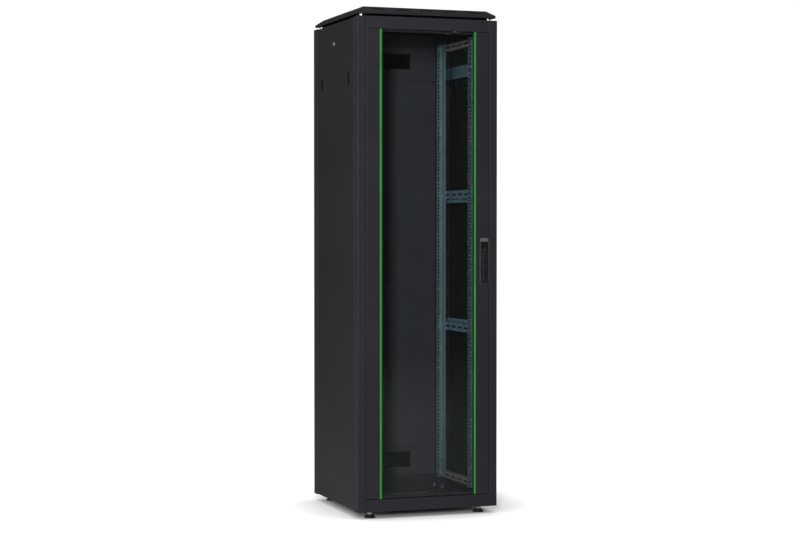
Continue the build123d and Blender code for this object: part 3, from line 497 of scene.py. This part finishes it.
# ------------------------------------------------------------------ door fittings
def blank_plate():
    """The plain plate above the handle, without any marking."""
    half_width, half_height, gap = 0.018, 0.0072, 0.0012
    back_y, front_y = -0.2999, -0.3008
    lo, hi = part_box("handle_base")
    cx = (lo.x + hi.x) / 2
    cz = hi.z + gap + half_height
    outline = rounded_outline((cx - half_width, cx + half_width),
                              (cz - half_height, cz + half_height), radius=0.0022, steps=6)
    bm = bmesh.new()
    back = add_ring(bm, [(x, back_y, z) for x, z in outline])
    front = add_ring(bm, [(x, front_y, z) for x, z in outline])
    bm.faces.new(back)
    face = bm.faces.new(list(reversed(front)))
    skin(bm, [front, back])
    bmesh.ops.inset_region(bm, faces=[face], thickness=0.0008, depth=-0.0002)
    mesh_object("blank_plate", bm, "plate", "front_door", smooth=35)


blank_plate()


def handle_bezel():
    """A thin light rim round the handle's base: a painted highlight that stands in for its lit
    edge.
    """
    gap, width = 0.0003, 0.0018
    back_y, front_y = -0.29995, -0.3037     # the front stays behind the turned lever
    inner, outer = gap, gap + width
    section = [                             # (offset from the handle's base, y)
        (inner, back_y), (inner, front_y + 0.0006), (inner + 0.0006, front_y),
        (outer - 0.0008, front_y), (outer, front_y + 0.0009), (outer, back_y)]
    lo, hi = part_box("handle_base")
    bm = bmesh.new()
    rings = []
    for grow, y in section:
        outline = rounded_outline((lo.x, hi.x), (lo.z, hi.z), radius=0.0045, steps=8, grow=grow)
        rings.append(add_ring(bm, [(x, y, z) for x, z in outline]))
    skin(bm, rings + rings[:1])
    mesh_object("handle_bezel", bm, "bezel", "front_door", smooth=35)


handle_bezel()


# ------------------------------------------------------------------ roof vent shade sheets
# section of the sloping mat: (distance from the cabinet's axis, height above BODY_Z)
VENT_SHADE_SECTION = [(0.2930, 2.0034), (0.2641, 2.0228), (0.2624, 2.0202), (0.2913, 2.0008)]
# upright strips, stopped short of the posts and the roof's corner tabs:
# (bottom and top above BODY_Z, half length)
VENT_SHADE_STRIPS = [(1.9770, 1.9842, 0.2425), (1.9842, 1.9940, 0.2600),
                 (1.9940, 1.9970, 0.2445), (1.9970, 2.0205, 0.2600)]
STRIP_INNER, STRIP_OUTER = 0.2605, 0.2625


def roof_vent_shade():
    """Dark foam sheets put in as painted shade: a sloping mat under the roof's louvres and upright
    strips behind the air gap, so the vents read dark.
    """
    bm = bmesh.new()
    corners = [add_ring(bm, [(sx * d, sy * d, BODY_Z + z) for d, z in VENT_SHADE_SECTION])
               for sx, sy in ((1, 1), (-1, 1), (-1, -1), (1, -1))]
    skin(bm, corners + corners[:1])
    for bottom, top, half in VENT_SHADE_STRIPS:
        zs = (BODY_Z + bottom, BODY_Z + top)
        side_half = half - 0.0003
        for s in SIDES:
            across = (s * STRIP_INNER, s * STRIP_OUTER)
            add_block(bm, (-half, half), across, zs)
            add_block(bm, across, (-side_half, side_half), zs)
    mesh_object("roof_vent_shade_mat", bm, "foam", "frame")


roof_vent_shade()


# ------------------------------------------------------------------ seals, clips, screws
def door_seals():
    """Foam seals on the back of the door's profiles; the right one is split round the tongue."""
    inner, outer = 0.2475, 0.2575            # distances from the cabinet's middle
    depth, wall, arc_steps = 0.0058, 0.0016, 6
    end_gap, tongue_gap = 0.008, 0.014
    profile_lo, profile_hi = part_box("front_door_right_profile")
    tongue_lo, tongue_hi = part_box("latch_tongue")
    bottom, top = profile_lo.z + end_gap, profile_hi.z - end_gap
    y = profile_hi.y
    bm = bmesh.new()
    for x0, x1, z0, z1 in ((inner, outer, bottom, tongue_lo.z - tongue_gap),
                           (inner, outer, tongue_hi.z + tongue_gap, top),
                           (-outer, -inner, bottom, top)):
        section = [(x0, y)]
        for k in range(arc_steps + 1):
            a = math.pi * k / arc_steps
            section.append(((x0 + x1) / 2 - (x1 - x0) / 2 * math.cos(a),
                            y + wall + (depth - wall) * math.sin(a)))
        section.append((x1, y))
        skin_capped(bm, [add_ring(bm, [(px, py, z) for px, py in section]) for z in (z0, z1)])
    mesh_object("door_seals", bm, "rubber", "front_door", smooth=40)


door_seals()


def latch_bar_clips():
    """Black wear clips over the latch bars, where the panels' hooks bear."""
    inner, outer = 0.2808, 0.2850            # distances from the cabinet's middle
    bm = bmesh.new()
    lo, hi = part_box("latch_bars")
    cheek_zs = (lo.z + 0.0004, hi.z + 0.0012)
    bridge_zs = (hi.z + 0.0001, hi.z + 0.0016)
    for s in SIDES:
        for y in (-0.170, 0.170):
            for xa, xb, zs in ((inner, 0.28245, cheek_zs), (0.28405, outer, cheek_zs),
                               (inner, outer, bridge_zs)):
                add_block(bm, (s * xa, s * xb), (y - 0.0055, y + 0.0055), zs,
                          bevel=0.0003, segments=1)
    mesh_object("latch_bar_clips", bm, "rubber", "frame")


latch_bar_clips()


PLATE_TOP = BODY_Z + 0.005
# washer, hexagon head and round end, each with a chamfered top; heights above PLATE_TOP:
# (radius, radius at the top, bottom, chamfer's foot, top, steps)
SCREW_STACK = [(0.0085, 0.0082, 0.0, 0.0012, 0.0016, 32),
               (0.0058, 0.0050, 0.0016, 0.0062, 0.0070, 6),
               (0.0030, 0.0025, 0.0070, 0.0135, 0.0140, 20)]


def plate_screws():
    """Hexagon screws with washers that hold the floor plate."""
    bm = bmesh.new()
    for x in (-0.260, 0.260):
        for y in (-0.226, 0.226):
            for radius, top_radius, bottom, foot, top, steps in SCREW_STACK:
                profile = [(0, bottom), (radius, bottom), (radius, foot), (top_radius, top),
                           (0, top)]
                add_lathe(bm, [(r, PLATE_TOP + z) for r, z in profile if (r, z) != (top_radius, top)
                               or True], x, y, steps) if foot < 0 else add_lathe(
                    bm, [(r, PLATE_TOP + z) for r, z in profile], x, y, steps)
    mesh_object("plate_screws", bm, "zinc", "frame", smooth=35)


plate_screws()


def floor_entry_foam():
    """Two foam pads that close the floor plate's cable opening; cables pass between them."""
    half_length, steps = 0.1494, 60
    middle_y, reach = 0.135, 0.0543          # the slit, and from it to the opening's rim
    bottom, top = BODY_Z + 0.0056, BODY_Z + 0.0150
    rounding, arc_steps = 0.004, 6           # of the lip along the slit
    bm = bmesh.new()
    for s in SIDES:
        rim = middle_y + s * reach
        rings = []
        for i in range(steps + 1):
            x = -half_length + 2 * half_length * i / steps
            wave = 0.0005 * (1 + math.sin(x * 95 + s))
            lip = middle_y + s * (0.0007 + wave)
            section = [(rim, bottom), (rim, top)]
            for k in range(arc_steps + 1):
                a = math.pi / 2 * k / arc_steps
                section.append((lip + s * rounding * (1 - math.sin(a)),
                                top - rounding + rounding * math.cos(a)))
            section.append((lip, bottom))
            rings.append(add_ring(bm, [(x, y, z) for y, z in section]))
        skin_capped(bm, rings)
    mesh_object("floor_entry_foam", bm, "pad", "frame", smooth=50)


floor_entry_foam()


# ------------------------------------------------------------------ studio
def studio_floor():
    half = 30.0
    mesh = bpy.data.meshes.new("floor")
    mesh.from_pydata([(-half, -half, 0), (half, -half, 0), (half, half, 0), (-half, half, 0)],
                     [], [(0, 1, 2, 3)])
    floor = bpy.data.objects.new("floor", mesh)
    scene.collection.objects.link(floor)
    m = Mat("studio_floor")
    cloud = m.span(m.noise(scale=0.8), over=MID)
    # over-lit white sweep that glows for the camera only; the glow is darkened by ambient occlusion
    # near the cabinet, a painted contact shadow
    painted_shadow_ao = m.add("ShaderNodeAmbientOcclusion", {"Distance": 0.42}, samples=12)
    path = m.add("ShaderNodeLightPath")
    glow = m.times(m.math("POWER", painted_shadow_ao.outputs["AO"], 1.5), 1.02)
    m.principled(Base_Color=m.mix(cloud, (0.80, 0.80, 0.80), (0.82, 0.82, 0.82)),
                 Roughness=0.85, Specular_IOR_Level=0.1, Emission_Color=(1, 1, 1),
                 Emission_Strength=m.times(glow, path.outputs["Is Camera Ray"]))
    mesh.materials.append(m.material)


def studio_world():
    world = bpy.data.worlds.new("studio")
    scene.world = world
    world.use_nodes = True
    tree = world.node_tree
    background = tree.nodes["Background"]
    path = tree.nodes.new("ShaderNodeLightPath")
    strength = tree.nodes.new("ShaderNodeMapRange")
    strength.inputs["To Min"].default_value = 0.07      # what lights the cabinet
    strength.inputs["To Max"].default_value = 1.05      # what the camera sees behind it
    tree.links.new(path.outputs["Is Camera Ray"], strength.inputs["Value"])
    tree.links.new(strength.outputs["Result"], background.inputs["Strength"])
    background.inputs["Color"].default_value = (1.0, 1.0, 1.0, 1)


def area_light(name, location, target, width, height, power):
    light = bpy.data.lights.new(name, "AREA")
    light.energy = power
    light.shape = "RECTANGLE"
    light.size = width
    light.size_y = height
    obj = bpy.data.objects.new(name, light)
    scene.collection.objects.link(obj)
    obj.location = location
    aim = Vector(target) - Vector(location)
    obj.rotation_euler = aim.to_track_quat("-Z", "Y").to_euler()
    return obj


def studio_lights():
    area_light("key", location=(-2.95, -6.75, 2.15), target=(0, 0, 1.05),
               width=0.55, height=1.5, power=330)
    area_light("side", location=(-5.0, 0.9, 1.85), target=(0, 0, 1.15),
               width=2.0, height=2.2, power=88)
    area_light("top", location=(-0.6, -1.6, 5.0), target=(0, 0, 1.5),
               width=2.0, height=2.0, power=30)
    # a narrow light inside the cabinet that only reaches the metalwork listed below
    bay = area_light("bay", location=(-0.186, -0.10, 1.02), target=(0.4, 0.05, 1.02),
                     width=0.03, height=1.75, power=1.25)
    bay.data.spread = math.radians(75)
    lit = bpy.data.collections.new("bay_light_receivers")
    for name in ("rear_right_rail", "rear_right_rail_bolts", "rail_braces", "latch_bars",
                 "side_depth_beams"):
        lit.objects.link(nodes[name])
    bay.light_linking.receiver_collection = lit


def studio_camera():
    """A long lens in front of the cabinet and to its left."""
    data = bpy.data.cameras.new("camera")
    data.sensor_width = 36.0
    data.lens = 83.04
    data.clip_start = 0.05
    data.clip_end = 200.0
    camera = bpy.data.objects.new("camera", data)
    scene.collection.objects.link(camera)
    camera.location = (-2.5986, -7.2844, 1.1649)
    camera.rotation_euler = (math.radians(88.82), 0.0, math.radians(-19.53))
    scene.camera = camera


studio_floor()
studio_world()
studio_lights()
studio_camera()
scene.view_settings.view_transform = "Standard"
scene.view_settings.look = "None"
scene.view_settings.exposure = 0.0
